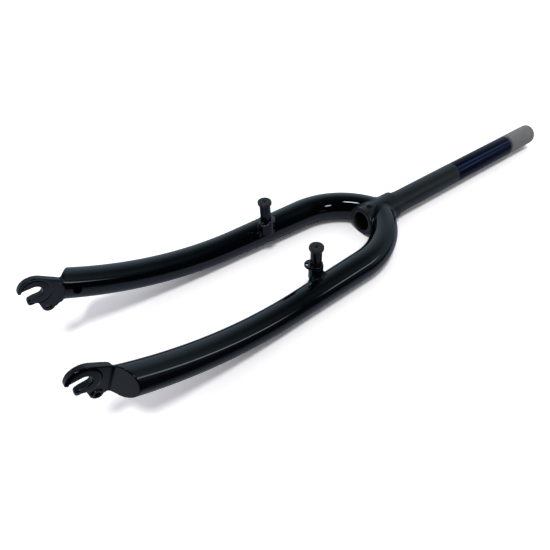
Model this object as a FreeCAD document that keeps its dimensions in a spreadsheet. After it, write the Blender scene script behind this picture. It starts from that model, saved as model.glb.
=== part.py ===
import FreeCAD, Part
import math
import os

import Sketcher
from FreeCAD import Placement, Rotation, Vector

# Rigid steel mountain bike fork: a straight steerer, two unicrown legs, dropouts and rim brake posts.
# Millimetres and degrees. The steering axis is Y, towards the steerer's free end. The left leg is at +X.
# +Z is the front of the fork, which lies on its back. The origin is on the steering axis, on the shoulder
# that carries the crown race. The right half mirrors the left half.

# Driving dimensions, one cell each
SIZES = {
    # steerer and its thick lower end
    "steerer_outer": 25.4,
    "steerer_bore": 22.2,
    "steerer_rise": 264.0,
    "steerer_chamfer": 0.5,
    "race_outer": 26.4,
    "race_height": 10.0,
    "crown_outer": 31.8,
    "crown_height": 48.0,
    "crown_chamfer": 0.6,
    "crown_hole": 6.0,
    "crown_hole_up": 10.0,
    # legs: where they meet the steering axis, the crown bend, the straight run and the rake bend
    "leg_outer_top": 29.8,
    "leg_outer_end": 27.2,
    "leg_wall": 1.8,
    "leg_meet_drop": 20.4,
    "leg_reach": 8.6,
    "crown_slope": 27.0,
    "bend_radius": 81.0,
    "splay": 2.3,
    "straight_run": 89.2,
    "rake_radius": 355.0,
    "rake_angle": 27.0,
    "end_run": 7.0,
    "vent_hole": 7.4,
    "vent_up": 13.0,
    "vent_ahead": 1.5,
    # dropouts
    "axle_gap": 100.0,
    "fold_to_axle": 18.8,
    "axle_ahead": 2.1,
    "plate_thick": 5.4,
    "tine_outer": 26.4,
    "slot_width": 10.0,
    "hook_root": 9.2,
    "hook_inner": 10.0,
    "hook_depth": 1.5,
    "hook_round": 1.0,
    "lower_tine_reach": 9.5,
    "lower_tip_round": 1.3,
    "heel_reach": 11.2,
    "heel_drop": 10.9,
    "heel_round": 1.6,
    "notch_round": 2.0,
    "seat_outer": 23.0,
    "seat_rise": 0.8,
    "fold_above": 11.8,
    "fold_below": 13.9,
    "fold_lip": 3.0,
    "fold_round": 3.5,
    "shoulder_round": 3.0,
    "eyelet_back": 2.0,
    "eyelet_drop": 19.4,
    "eyelet_outer": 10.4,
    "eyelet_hole": 4.2,
    "eyelet_rim": 8.4,
    "eyelet_stand": 1.0,
    "tang_angle": 57.0,
    "tang_thick": 3.5,
    "web_inset": 0.4,
    "web_rise": 2.6,
    # brake bosses, spring plates and post caps
    "post_spacing": 83.7,
    "post_drop": 147.2,
    "post_outer": 8.0,
    "post_length": 16.0,
    "post_thread": 5.0,
    "post_thread_depth": 20.0,
    "boss_outer": 14.6,
    "boss_foot": 4.0,
    "boss_top": 23.7,
    "spigot_outer": 10.6,
    "ring_outer": 13.6,
    "ring_thick": 2.5,
    "ring_clearance": 0.05,
    "ear_outer": 12.0,
    "ear_inward": 2.9,
    "ear_down": 4.5,
    "spring_hole": 3.0,
    "spring_inward": 4.7,
    "spring_down": 7.35,
    "tail_outer": 9.0,
    "tail_inward": 3.6,
    "tail_up": 3.9,
    "cap_outer": 12.0,
    "cap_disc": 14.3,
    "cap_disc_thick": 2.6,
    "cap_clearance": 0.1,
    "cap_end_gap": 2.6,
    "cap_chamfer": 0.5,
    "cap_dimple": 1.2,
    "cap_dimple_depth": 0.5,
}

# Sizes that follow from the driving ones
DERIVED = {
    "steerer_r": "steerer_outer / 2",
    "bore_r": "steerer_bore / 2",
    "race_r": "race_outer / 2",
    "crown_r": "crown_outer / 2",
    "crown_foot": "-crown_height",
    "crown_hole_at": "crown_hole_up - crown_height",
    "crown_through": "2 * crown_outer",
    "leg_top_r": "leg_outer_top / 2",
    "leg_end_r": "leg_outer_end / 2",
    "hollow_outer_top": "leg_outer_top - 2 * leg_wall",
    "hollow_outer_end": "leg_outer_end - 2 * leg_wall",
    "hollow_top_r": "hollow_outer_top / 2",
    "hollow_end_r": "hollow_outer_end / 2",
    "bend_turn": "90 - splay - crown_slope",
    "bend_end_x": "leg_reach * cos(crown_slope) + bend_radius * (cos(splay) - sin(crown_slope))",
    "bend_drop": "leg_meet_drop + leg_reach * sin(crown_slope)",
    "bend_end_y": "-bend_drop - bend_radius * (cos(crown_slope) - sin(splay))",
    "bend_top_x": "-bend_radius * (1 - cos(bend_turn))",
    "bend_top_y": "bend_radius * sin(bend_turn)",
    "leg_top_x": "bend_top_x - leg_reach * sin(bend_turn)",
    "leg_top_y": "bend_top_y + leg_reach * cos(bend_turn)",
    "rake_start_y": "-straight_run",
    "rake_end_y": "-straight_run - rake_radius * sin(rake_angle)",
    "rake_end_z": "rake_radius * (1 - cos(rake_angle))",
    "leg_spare": "end_run + leg_outer_end",
    "leg_tail_y": "rake_end_y - leg_spare * cos(rake_angle)",
    "leg_tail_z": "rake_end_z + leg_spare * sin(rake_angle)",
    "fold_run": "straight_run + rake_radius * sin(rake_angle) + end_run * cos(rake_angle)",
    "fold_y": "bend_end_y - fold_run * cos(splay)",
    "fold_z": "rake_end_z + end_run * sin(rake_angle)",
    "axle_y": "fold_y - fold_to_axle * cos(rake_angle) + axle_ahead * sin(rake_angle)",
    "axle_z": "fold_z + fold_to_axle * sin(rake_angle) + axle_ahead * cos(rake_angle)",
    "plate_in": "axle_gap / 2",
    "plate_out": "plate_in + plate_thick",
    "seat_out": "plate_out + seat_rise",
    "seat_stack": "plate_thick + seat_rise",
    "seat_clear": "4 * tine_outer",
    "tine_r": "tine_outer / 2",
    "fold_top_y": "fold_to_axle * cos(rake_angle) + (fold_above - axle_ahead) * sin(rake_angle)",
    "fold_top_z": "-fold_to_axle * sin(rake_angle) + (fold_above - axle_ahead) * cos(rake_angle)",
    "fold_low_y": "fold_to_axle * cos(rake_angle) - (fold_below + axle_ahead) * sin(rake_angle)",
    "fold_low_z": "-fold_to_axle * sin(rake_angle) - (fold_below + axle_ahead) * cos(rake_angle)",
    "fold_top_far": "sqrt(fold_top_y ^ 2 + fold_top_z ^ 2)",
    "brow_angle": "atan2(fold_top_z; fold_top_y) + acos(tine_r / fold_top_far)",
    "brow_y": "tine_r * cos(brow_angle)",
    "brow_z": "tine_r * sin(brow_angle)",
    "centre": "0",
    "slot_r": "slot_width / 2",
    "slot_low": "-slot_r",
    "slot_mouth": "-2 * tine_r",
    "hook_root_y": "-hook_root",
    "hook_inner_y": "-hook_inner",
    "hook_tip_z": "slot_r - hook_depth",
    "hook_outer_y": "-sqrt(tine_r ^ 2 - hook_tip_z ^ 2)",
    "lower_tip_y": "-lower_tine_reach",
    "lower_cut_z": "-2 * tine_r",
    "heel_tip_y": "-heel_reach",
    "heel_z": "-heel_drop",
    "eyelet_r": "eyelet_outer / 2",
    "eyelet_z": "-eyelet_drop",
    "neck_left": "eyelet_back - eyelet_r",
    "neck_corner_y": "eyelet_back + sqrt(eyelet_r ^ 2 - (fold_low_z + eyelet_drop) ^ 2)",
    "eyelet_length": "plate_thick + eyelet_stand",
    "tang_back_x": "plate_out - tang_thick * cos(tang_angle)",
    "tang_back_y": "fold_to_axle + tang_thick * sin(tang_angle)",
    "lip_y": "fold_to_axle - fold_lip",
    "tang_length": "2 * leg_outer_end",
    "tang_far_x": "plate_out + tang_length * sin(tang_angle)",
    "tang_far_y": "fold_to_axle + tang_length * cos(tang_angle)",
    "tang_far_back_x": "tang_back_x + tang_length * sin(tang_angle)",
    "tang_far_back_y": "tang_back_y + tang_length * cos(tang_angle)",
    "beyond_y": "-tang_length",
    "tang_height": "2 * leg_outer_end",
    "web_low": "-fold_below - axle_ahead",
    "web_inner_low": "web_low + web_rise",
    "web_far_x": "bend_end_x + fold_run * sin(splay)",
    "web_far_low": "web_inset - leg_end_r - axle_ahead",
    "web_depth": "2 * tang_length",
    "vent_y": "fold_to_axle + vent_up",
    "vent_z": "vent_ahead - axle_ahead",
    "post_x": "post_spacing / 2",
    "post_y": "-post_drop",
    "ring_top": "boss_top + ring_thick",
    "post_top": "ring_top + post_length",
    "thread_foot": "post_top - post_thread_depth",
    "boss_r": "boss_outer / 2",
    "spigot_r": "spigot_outer / 2",
    "post_r": "post_outer / 2",
    "thread_r": "post_thread / 2",
    "ear_x": "-ear_inward",
    "ear_y": "-ear_down",
    "ring_bore": "spigot_outer + 2 * ring_clearance",
    "spring_x": "-spring_inward",
    "spring_y": "-spring_down",
    "tail_x": "-tail_inward",
    "cap_r": "cap_outer / 2",
    "cap_bore_r": "post_r + cap_clearance",
    "cap_bore_top": "post_top + cap_end_gap",
    "cap_top": "cap_bore_top + cap_disc_thick",
    "disc_r": "cap_disc / 2",
    "dimple_r": "cap_dimple / 2",
    "dimple_foot": "cap_top - cap_dimple_depth",
}

doc = FreeCAD.newDocument("fork")
sheet = doc.addObject("Spreadsheet::Sheet", "sizes")


def fill_sheet():
    """Writes the driving dimensions as plain numbers and the derived ones as formulas."""
    cells = [(alias, str(value)) for alias, value in SIZES.items()]
    cells += [(alias, "=" + formula) for alias, formula in DERIVED.items()]
    for row, (alias, content) in enumerate(cells, start=1):
        sheet.set(f"A{row}", alias)
        sheet.setAlias(f"B{row}", alias)
        sheet.set(f"B{row}", content)
    doc.recompute()


def size(alias):
    """Value of a named cell, for the first guess of a sketch point."""
    return float(sheet.get(alias))


def bind(thing, prop, expression):
    """Binds a property to a formula of named cells."""
    thing.setExpression(prop, expression)


def cell(alias):
    """Formula that reads one named cell."""
    return "sizes." + alias


def origin_feature(body, role):
    """One of the body's own origin planes or axes."""
    return next(item for item in body.Origin.OriginFeatures if item.Role == role)


def new_body(label, base=(), turn=None):
    """A body whose place is bound: base has the aliases of x, y and z, turn an axis and a formula."""
    body = doc.addObject("PartDesign::Body", label)
    body.Label = label
    if turn:
        axis, formula = turn
        body.Placement = Placement(Vector(), Rotation(axis, 1.0))
        bind(body, "Placement.Rotation.Angle", formula)
    for letter, alias in zip("xyz", base):
        bind(body, f"Placement.Base.{letter}", cell(alias))
    return body


def new_sketch(body, role, name, lift=None):
    """A sketch on an origin plane of its body, raised along the plane's normal by a cell if one is given."""
    sketch = body.newObject("Sketcher::SketchObject", name)
    sketch.AttachmentSupport = [(origin_feature(body, role), "")]
    sketch.MapMode = "FlatFace"
    if lift:
        bind(sketch, "AttachmentOffset.Base.z", cell(lift))
    return sketch


def constrain(sketch, kind, *where, formula):
    """Adds a size constraint, bound to a formula."""
    index = sketch.addConstraint(Sketcher.Constraint(kind, *where))
    bind(sketch, f"Constraints[{index}]", formula)


def pin_point(sketch, geometry, point, place):
    """Holds a point of the sketch at the coordinates that two cells give."""
    for kind, alias in zip(("DistanceX", "DistanceY"), place):
        constrain(sketch, kind, -1, 1, geometry, point, size(alias), formula=cell(alias))


def add_circle(sketch, diameter, place=("centre", "centre")):
    """A circle of a cell's diameter, centred at two cells' coordinates."""
    middle = Vector(size(place[0]), size(place[1]), 0)
    index = sketch.addGeometry(Part.Circle(middle, Vector(0, 0, 1), size(diameter) / 2), False)
    pin_point(sketch, index, 3, place)
    constrain(sketch, "Diameter", index, size(diameter), formula=cell(diameter))


def add_polygon(sketch, places):
    """A closed outline of straight lines, each corner at two cells' coordinates."""
    corners = [Vector(size(across), size(up), 0) for across, up in places]
    lines = [sketch.addGeometry(Part.LineSegment(here, there), False)
             for here, there in zip(corners, corners[1:] + corners[:1])]
    for line, following in zip(lines, lines[1:] + lines[:1]):
        sketch.addConstraint(Sketcher.Constraint("Coincident", line, 2, following, 1))
    for line, place in zip(lines, places):
        pin_point(sketch, line, 1, place)


def add_feature(body, kind, name, profile=None, **settings):
    """A feature of the body, from a sketch where it has one."""
    feature = body.newObject("PartDesign::" + kind, name)
    if profile:
        feature.Profile = profile
    for key, value in settings.items():
        setattr(feature, key, value)
    return feature


def pad(body, sketch, name, length, kind="Pad", reverse=False, symmetric=False):
    """A pad or pocket of a cell's length."""
    feature = add_feature(body, kind, name, sketch, Reversed=reverse)
    if symmetric:
        feature.SideType = "Symmetric"
    bind(feature, "Length", cell(length))
    return feature


def revolve(body, sketch, name):
    """A full turn of a sketch about its own upright axis."""
    return add_feature(body, "Revolution", name, sketch, ReferenceAxis=(sketch, ["V_Axis"]), Angle=360.0)


def edges_where(feature, test):
    """Names of the feature's edges that pass a test."""
    return [f"Edge{number}" for number, edge in enumerate(feature.Shape.Edges, start=1) if test(edge)]


def dress_edges(body, kind, name, feature, test, size_alias):
    """A fillet or chamfer of a cell's size on the edges that pass a test."""
    doc.recompute()
    dressing = body.newObject("PartDesign::" + kind, name)
    dressing.Base = (feature, edges_where(feature, test))
    bind(dressing, "Radius" if kind == "Fillet" else "Size", cell(size_alias))
    return dressing


def is_near(value, target):
    """True where two lengths agree to a hundredth."""
    return abs(value - target) < 0.01


def ring_at(level):
    """Test for a round edge square to the Y axis, at the height that a cell gives."""
    def test(edge):
        return is_near(edge.BoundBox.YMin, size(level)) and is_near(edge.BoundBox.YMax, size(level))
    return test


def cut(label, base, *tools):
    """The base solid less all the tools."""
    result = doc.addObject("Part::Cut", label)
    result.Label = label
    result.Base = base
    if len(tools) == 1:
        result.Tool = tools[0]
    else:
        result.Tool = doc.addObject("Part::MultiFuse", label + "_tools")
        result.Tool.Shapes = list(tools)
    return result


def shared(label, base, tool):
    """What two solids have in common."""
    result = doc.addObject("Part::Common", label)
    result.Base = base
    result.Tool = tool
    return result


def make_steerer():
    """The steerer: one turned tube with a race seat and a thick crown end, and a hole from front to back."""
    body = new_body("steerer_tube")
    profile = new_sketch(body, "XY_Plane", "steerer_profile")
    add_polygon(profile, [("bore_r", "crown_foot"), ("crown_r", "crown_foot"), ("crown_r", "centre"),
                          ("race_r", "centre"), ("race_r", "race_height"), ("steerer_r", "race_height"),
                          ("steerer_r", "steerer_rise"), ("bore_r", "steerer_rise")])
    turned = revolve(body, profile, "steerer_turned")
    top = dress_edges(body, "Chamfer", "steerer_top", turned, ring_at("steerer_rise"), "steerer_chamfer")
    dress_edges(body, "Chamfer", "steerer_foot", top, ring_at("crown_foot"), "crown_chamfer")
    hole = new_sketch(body, "XY_Plane", "crown_hole_circle")
    add_circle(hole, "crown_hole", ("centre", "crown_hole_at"))
    pad(body, hole, "crown_hole_cut", "crown_through", kind="Pocket", symmetric=True)
    return body


def make_leg_solid(label, kind):
    """A leg filled solid, or its hollow: the crown bend, the tapered straight run and the rake bend.

    The leg's frame stands where the crown bend ends, with Y up along the straight run. The kind starts the
    names of the cells with its diameters.
    """
    body = new_body(label, ("bend_end_x", "bend_end_y"), (Vector(0, 0, 1), cell("splay")))
    top_section = new_sketch(body, "XZ_Plane", label + "_top_section")
    add_circle(top_section, kind + "_outer_top")
    crown_path = new_sketch(body, "XY_Plane", label + "_crown_path")
    middle = Vector(-size("bend_radius"), 0, 0)
    circle = Part.Circle(middle, Vector(0, 0, 1), size("bend_radius"))
    arc = Part.ArcOfCircle(circle, 0, math.radians(size("bend_turn")))
    bend = crown_path.addGeometry(arc, False)
    reach = crown_path.addGeometry(Part.LineSegment(Vector(size("bend_top_x"), size("bend_top_y"), 0),
                                                    Vector(size("leg_top_x"), size("leg_top_y"), 0)), False)
    crown_path.addConstraint(Sketcher.Constraint("Coincident", bend, 2, reach, 1))
    pin_point(crown_path, bend, 1, ("centre", "centre"))
    pin_point(crown_path, bend, 2, ("bend_top_x", "bend_top_y"))
    constrain(crown_path, "Radius", bend, size("bend_radius"), formula=cell("bend_radius"))
    pin_point(crown_path, reach, 2, ("leg_top_x", "leg_top_y"))
    crown = add_feature(body, "AdditivePipe", label + "_crown", top_section)
    crown.Spine = (crown_path, ["Edge1", "Edge2"])

    taper = new_sketch(body, "XY_Plane", label + "_taper")
    add_polygon(taper, [("centre", "centre"), (kind + "_top_r", "centre"), (kind + "_end_r", "rake_start_y"),
                        ("centre", "rake_start_y")])
    revolve(body, taper, label + "_run")

    end_section = new_sketch(body, "XZ_Plane", label + "_end_section", "straight_run")
    add_circle(end_section, kind + "_outer_end")
    rake_path = new_sketch(body, "YZ_Plane", label + "_rake_path")
    places = [("rake_start_y", "centre"), ("rake_end_y", "rake_end_z"), ("leg_tail_y", "leg_tail_z")]
    begin, end, tail = [Vector(size(across), size(up), 0) for across, up in places]
    half_turn = Rotation(Vector(0, 0, 1), size("rake_angle") / 2)
    middle = Vector(size("rake_start_y"), size("rake_radius"), 0)
    through = middle - half_turn.inverted().multVec(Vector(0, size("rake_radius"), 0))
    rake = rake_path.addGeometry(Part.Arc(begin, through, end), False)
    spare = rake_path.addGeometry(Part.LineSegment(end, tail), False)
    near_end, far_end = (1, 2) if is_near((rake_path.getPoint(rake, 1) - begin).Length, 0) else (2, 1)
    rake_path.addConstraint(Sketcher.Constraint("Coincident", spare, 1, rake, far_end))
    pin_point(rake_path, rake, near_end, places[0])
    pin_point(rake_path, spare, 1, places[1])
    pin_point(rake_path, spare, 2, places[2])
    constrain(rake_path, "Radius", rake, size("rake_radius"), formula=cell("rake_radius"))
    blade = add_feature(body, "AdditivePipe", label + "_rake", end_section)
    blade.Spine = (rake_path, ["Edge1", "Edge2"])
    return body


def make_crown_tool():
    """The crown end's outside, as a rod along the steering axis."""
    rod = doc.addObject("Part::Cylinder", "crown_tool")
    rod.Placement = Placement(Vector(0, 0, 0), Rotation(Vector(1, 0, 0), 90.0))
    bind(rod, "Radius", cell("crown_r"))
    bind(rod, "Height", cell("crown_height"))
    return rod


def tang_frame(label):
    """A body whose frame stands at the axle, with Y up along the leg's end."""
    return new_body(label, ("centre", "axle_y", "axle_z"), (Vector(1, 0, 0), "-" + cell("rake_angle")))


def make_end_tool():
    """What is sawn off the leg's end: all that lies past the back of the dropout and its tang."""
    body = tang_frame("end_tool")
    outline = new_sketch(body, "XY_Plane", "end_tool_outline")
    add_polygon(outline, [("centre", "tang_back_y"), ("tang_back_x", "tang_back_y"),
                          ("tang_far_back_x", "tang_far_back_y"), ("tang_far_back_x", "beyond_y"),
                          ("centre", "beyond_y")])
    pad(body, outline, "end_tool_block", "tang_height", symmetric=True)
    return body


def make_vent_tool():
    """The vent hole's rod, through the leg's inner wall alone."""
    body = tang_frame("vent_tool")
    circle = new_sketch(body, "YZ_Plane", "vent_circle")
    add_circle(circle, "vent_hole", ("vent_y", "vent_z"))
    pad(body, circle, "vent_rod", "plate_out")
    return body


def make_dropout(leg_solid):
    """A dropout: a plate with slot, raised nut seat and eyelet, and the tang that closes the leg's end."""
    body = new_body("dropout_plate", ("centre", "axle_y", "axle_z"))
    head = new_sketch(body, "YZ_Plane", "dropout_head", "plate_in")
    add_circle(head, "tine_outer")
    pad(body, head, "dropout_head_pad", "seat_stack")
    neck = new_sketch(body, "YZ_Plane", "dropout_neck", "plate_in")
    add_polygon(neck, [("fold_top_y", "fold_top_z"), ("brow_y", "brow_z"), ("neck_left", "centre"),
                       ("neck_left", "eyelet_z"), ("eyelet_back", "fold_low_z"),
                       ("fold_low_y", "fold_low_z")])
    pad(body, neck, "dropout_neck_pad", "seat_stack")
    heel = new_sketch(body, "YZ_Plane", "dropout_heel", "plate_in")
    add_polygon(heel, [("lower_tip_y", "slot_low"), ("neck_left", "slot_low"), ("neck_left", "heel_z"),
                       ("heel_tip_y", "heel_z")])
    pad(body, heel, "dropout_heel_pad", "seat_stack")
    eyelet = new_sketch(body, "YZ_Plane", "dropout_eyelet", "plate_in")
    add_circle(eyelet, "eyelet_outer", ("eyelet_back", "eyelet_z"))
    pad(body, eyelet, "dropout_eyelet_pad", "seat_stack")
    slot_end = new_sketch(body, "YZ_Plane", "dropout_slot_end", "plate_in")
    add_circle(slot_end, "slot_width")
    pad(body, slot_end, "dropout_slot_end_cut", "seat_stack", kind="Pocket", reverse=True)
    slot = new_sketch(body, "YZ_Plane", "dropout_slot", "plate_in")
    add_polygon(slot, [("centre", "slot_r"), ("hook_root_y", "slot_r"), ("hook_inner_y", "hook_tip_z"),
                       ("slot_mouth", "hook_tip_z"), ("slot_mouth", "slot_low"), ("centre", "slot_low")])
    pad(body, slot, "dropout_slot_cut", "seat_stack", kind="Pocket", reverse=True)
    tine = new_sketch(body, "YZ_Plane", "dropout_lower_tine", "plate_in")
    add_polygon(tine, [("lower_tip_y", "centre"), ("slot_mouth", "centre"), ("slot_mouth", "lower_cut_z"),
                       ("neck_left", "lower_cut_z"), ("neck_left", "heel_z"), ("heel_tip_y", "heel_z"),
                       ("lower_tip_y", "slot_low")])
    trimmed = pad(body, tine, "dropout_lower_tine_cut", "seat_stack", kind="Pocket", reverse=True)

    hook = [("hook_outer_y", "hook_tip_z"), ("hook_inner_y", "hook_tip_z"), ("hook_root_y", "slot_r")]
    notches = [("neck_left", "heel_z"), ("neck_corner_y", "fold_low_z")]
    shoulders = [("fold_top_y", "fold_top_z"), ("fold_low_y", "fold_low_z")]
    rounds = [("hook", hook, "hook_round"), ("lower_tip", [("lower_tip_y", "slot_low")], "lower_tip_round"),
              ("heel_corner", [("heel_tip_y", "heel_z")], "heel_round"), ("notches", notches, "notch_round"),
              ("shoulders", shoulders, "shoulder_round")]
    rounded = trimmed
    for name, places, radius in rounds:
        rounded = dress_edges(body, "Fillet", "dropout_" + name, rounded, corner_at(places), radius)

    seat = new_sketch(body, "YZ_Plane", "dropout_seat", "seat_out")
    add_circle(seat, "seat_clear")
    add_circle(seat, "seat_outer")
    pad(body, seat, "dropout_seat_cut", "seat_rise", kind="Pocket")
    rim = new_sketch(body, "YZ_Plane", "dropout_eyelet_rim", "plate_in")
    add_circle(rim, "eyelet_rim", ("eyelet_back", "eyelet_z"))
    pad(body, rim, "dropout_eyelet_rim_pad", "eyelet_length")
    thread = new_sketch(body, "YZ_Plane", "dropout_eyelet_thread", "plate_in")
    add_circle(thread, "eyelet_hole", ("eyelet_back", "eyelet_z"))
    pad(body, thread, "dropout_eyelet_thread_cut", "eyelet_length", kind="Pocket", reverse=True)

    tang = tang_frame("tang_block")
    strip = new_sketch(tang, "XY_Plane", "tang_outline")
    add_polygon(strip, [("plate_in", "tang_back_y"), ("tang_back_x", "tang_back_y"),
                        ("tang_far_back_x", "tang_far_back_y"), ("tang_far_x", "tang_far_y"),
                        ("plate_out", "fold_to_axle"), ("plate_out", "lip_y"), ("plate_in", "lip_y")])
    bent = pad(tang, strip, "tang_pad", "tang_height", symmetric=True)
    dress_edges(tang, "Fillet", "tang_fold", bent, is_fold, "fold_round")
    web = tang_frame("tang_web")
    outline = new_sketch(web, "XZ_Plane", "tang_web_outline")
    add_polygon(outline, [("plate_in", "web_inner_low"), ("plate_in", "centre"), ("web_far_x", "centre"),
                          ("web_far_x", "web_far_low"), ("plate_out", "web_low")])
    pad(web, outline, "tang_web_pad", "web_depth", symmetric=True)
    whole = doc.addObject("Part::MultiFuse", "left_dropout")
    whole.Label = "left_dropout"
    whole.Shapes = [body, shared("tang_end", tang, leg_solid), shared("tang_neck", tang, web)]
    whole.Refine = True
    return whole


def corner_at(places):
    """Test for an edge square through the plate at one of the corners that cells give."""
    def test(edge):
        box = edge.BoundBox
        return box.XLength > size("plate_thick") / 2 and any(
            is_near(box.YMin, size(along)) and is_near(box.ZMin, size(up)) for along, up in places)
    return test


def is_fold(edge):
    """Test for the inside corner of the fold, in the tang's own frame."""
    ends = [corner.Point for corner in edge.Vertexes]
    return all(is_near(end.x, size("plate_out")) and is_near(end.y, size("fold_to_axle")) for end in ends)


def make_boss(leg_solid):
    """A brake boss: base, spigot for the spring plate, pivot post, and a foot cut to seat on the leg."""
    body = new_body("boss_turned", ("post_x", "post_y"))
    profile = new_sketch(body, "XZ_Plane", "boss_profile")
    add_polygon(profile, [("centre", "boss_foot"), ("boss_r", "boss_foot"), ("boss_r", "boss_top"),
                          ("spigot_r", "boss_top"), ("spigot_r", "ring_top"), ("post_r", "ring_top"),
                          ("post_r", "post_top"), ("thread_r", "post_top"), ("thread_r", "thread_foot"),
                          ("centre", "thread_foot")])
    revolve(body, profile, "boss_revolved")
    return cut("left_brake_boss", body, leg_solid)


def make_spring_plate():
    """The pressed ring on the boss, with the ear that holds the brake spring's hole and a tail above it."""
    body = new_body("left_spring_plate", ("post_x", "post_y", "boss_top"))
    middle, ear, tail = ("centre", "centre"), ("ear_x", "ear_y"), ("tail_x", "tail_up")
    for name, diameter, place in (("ring", "ring_outer", middle), ("ear", "ear_outer", ear),
                                  ("tail", "tail_outer", tail)):
        sketch = new_sketch(body, "XY_Plane", "spring_plate_" + name)
        add_circle(sketch, diameter, place)
        pad(body, sketch, f"spring_plate_{name}_pad", "ring_thick")
    for name, diameter, place in (("bore", "ring_bore", middle),
                                  ("spring", "spring_hole", ("spring_x", "spring_y"))):
        sketch = new_sketch(body, "XY_Plane", f"spring_plate_{name}_hole")
        add_circle(sketch, diameter, place)
        pad(body, sketch, f"spring_plate_{name}_cut", "ring_thick", kind="Pocket", reverse=True)
    return body


def make_post_cap():
    """The plastic cap: a sleeve over the post with a wider disc at its closed end and a moulding dimple."""
    body = new_body("left_post_cap", ("post_x", "post_y"))
    profile = new_sketch(body, "XZ_Plane", "cap_profile")
    add_polygon(profile, [("cap_bore_r", "ring_top"), ("cap_r", "ring_top"), ("cap_r", "cap_bore_top"),
                          ("disc_r", "cap_bore_top"), ("disc_r", "cap_top"), ("dimple_r", "cap_top"),
                          ("centre", "dimple_foot"), ("centre", "cap_bore_top"),
                          ("cap_bore_r", "cap_bore_top")])
    turned = revolve(body, profile, "cap_turned")

    def is_disc_rim(edge):
        """Test for the disc's outer edges, top and bottom."""
        return is_near(edge.BoundBox.XLength, size("cap_disc")) and is_near(edge.BoundBox.ZLength, 0)
    dress_edges(body, "Chamfer", "cap_rim", turned, is_disc_rim, "cap_chamfer")
    return body


def mirrored(left):
    """The right-hand twin of a left-hand piece."""
    right = doc.addObject("Part::Mirroring", left.Label.replace("left_", "right_"))
    right.Label = left.Label.replace("left_", "right_")
    right.Source = left
    right.Normal = Vector(1, 0, 0)
    return right


def check_and_write(pieces):
    """Stops on any failed object or bad shape, then writes one file for each piece."""
    for thing in doc.Objects:
        if "Invalid" in thing.State or "Error" in thing.State:
            raise RuntimeError(f"{thing.Name} failed: {thing.State}")
    for piece in pieces:
        if piece.Shape.isNull() or not piece.Shape.isValid() or len(piece.Shape.Solids) != 1:
            raise RuntimeError(f"{piece.Label} has no sound solid")
    os.makedirs("parts", exist_ok=True)
    for piece in pieces:
        piece.Shape.exportStep(f"parts/{piece.Label}.step")
        print(f"{piece.Label}: {piece.Shape.Volume:.0f} cubic millimetres")


fill_sheet()
steerer = make_steerer()
leg_solid = make_leg_solid("leg_solid", "leg")
leg_hollow = make_leg_solid("leg_hollow", "hollow")
left_leg = cut("left_leg", leg_solid, leg_hollow, make_crown_tool(), make_end_tool(), make_vent_tool())
left_pieces = [left_leg, make_dropout(leg_solid), make_boss(leg_solid), make_spring_plate(), make_post_cap()]
right_pieces = [mirrored(piece) for piece in left_pieces]
doc.recompute()
check_and_write([steerer] + left_pieces + right_pieces)
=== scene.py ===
import logging
import math
from dataclasses import dataclass
from enum import Enum
from typing import Callable

import bmesh
import bpy
import numpy as np
from bpy.types import Material, Mesh, Node, NodeSocket, NodeTree, Object
from mathutils import Matrix


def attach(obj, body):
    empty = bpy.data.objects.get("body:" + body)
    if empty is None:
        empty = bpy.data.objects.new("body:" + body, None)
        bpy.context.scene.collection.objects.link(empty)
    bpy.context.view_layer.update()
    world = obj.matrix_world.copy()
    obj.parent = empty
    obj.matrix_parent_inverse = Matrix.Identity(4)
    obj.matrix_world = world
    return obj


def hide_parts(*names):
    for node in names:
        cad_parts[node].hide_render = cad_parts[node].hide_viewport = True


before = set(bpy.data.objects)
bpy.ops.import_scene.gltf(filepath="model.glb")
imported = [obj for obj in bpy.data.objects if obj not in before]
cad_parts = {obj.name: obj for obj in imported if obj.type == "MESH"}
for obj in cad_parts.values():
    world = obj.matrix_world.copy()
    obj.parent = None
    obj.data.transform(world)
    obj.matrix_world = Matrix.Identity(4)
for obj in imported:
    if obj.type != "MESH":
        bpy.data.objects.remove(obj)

LOG = logging.getLogger("fork")
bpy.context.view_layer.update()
MM = 0.001
TURN = 2.0 * math.pi
WELD_STEP = 0.002  # points that round to the same step, in millimetres, are one
HALVINGS = 40  # halvings of a span when a crossing is sought
NOISE_MIDDLE = (0.3, 0.7)  # where most of a noise texture's numbers lie
BEAD_SHARP = 60.0  # edges of a weld that turn more than this stay sharp

Array = np.ndarray
Colour = tuple[float, float, float, float]
Triple = tuple[float, float, float]
Span = tuple[float, float]


class Slot(Enum):
    """The record's material slots."""

    STEERER = "steerer_finish"
    PAINT = "gloss_black_paint"
    CAP = "black_cap_plastic"


class Side(Enum):
    """Which leg a piece belongs to: the sign of its X."""

    LEFT = 1
    RIGHT = -1

    def named(self, piece: str) -> str:
        """A piece's name with its side in front."""
        return f"{self.name.lower()}_{piece}"


def smooth_step(t: Array) -> Array:
    """Blend 3t^2 - 2t^3 of t held between 0 and 1."""
    t = np.clip(t, 0.0, 1.0)
    return t * t * (3.0 - 2.0 * t)


def unit(vectors: Array) -> Array:
    """Vectors scaled to length one."""
    return vectors / np.linalg.norm(vectors, axis=-1, keepdims=True)


def turns(count: int) -> Array:
    """Even angles once round."""
    return np.linspace(0.0, TURN, count, endpoint=False)


def radians(span: Span) -> Span:
    """Two angles in degrees as radians."""
    return math.radians(span[0]), math.radians(span[1])


def bent(start: Array, corner: Array, end: Array, w: Array) -> Array:
    """The curve (1-w)^2 A + 2w(1-w) P + w^2 B, from A at the start to B at the end, drawn towards the corner P."""
    return (1 - w) ** 2 * start + 2 * w * (1 - w) * corner + w ** 2 * end


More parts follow.
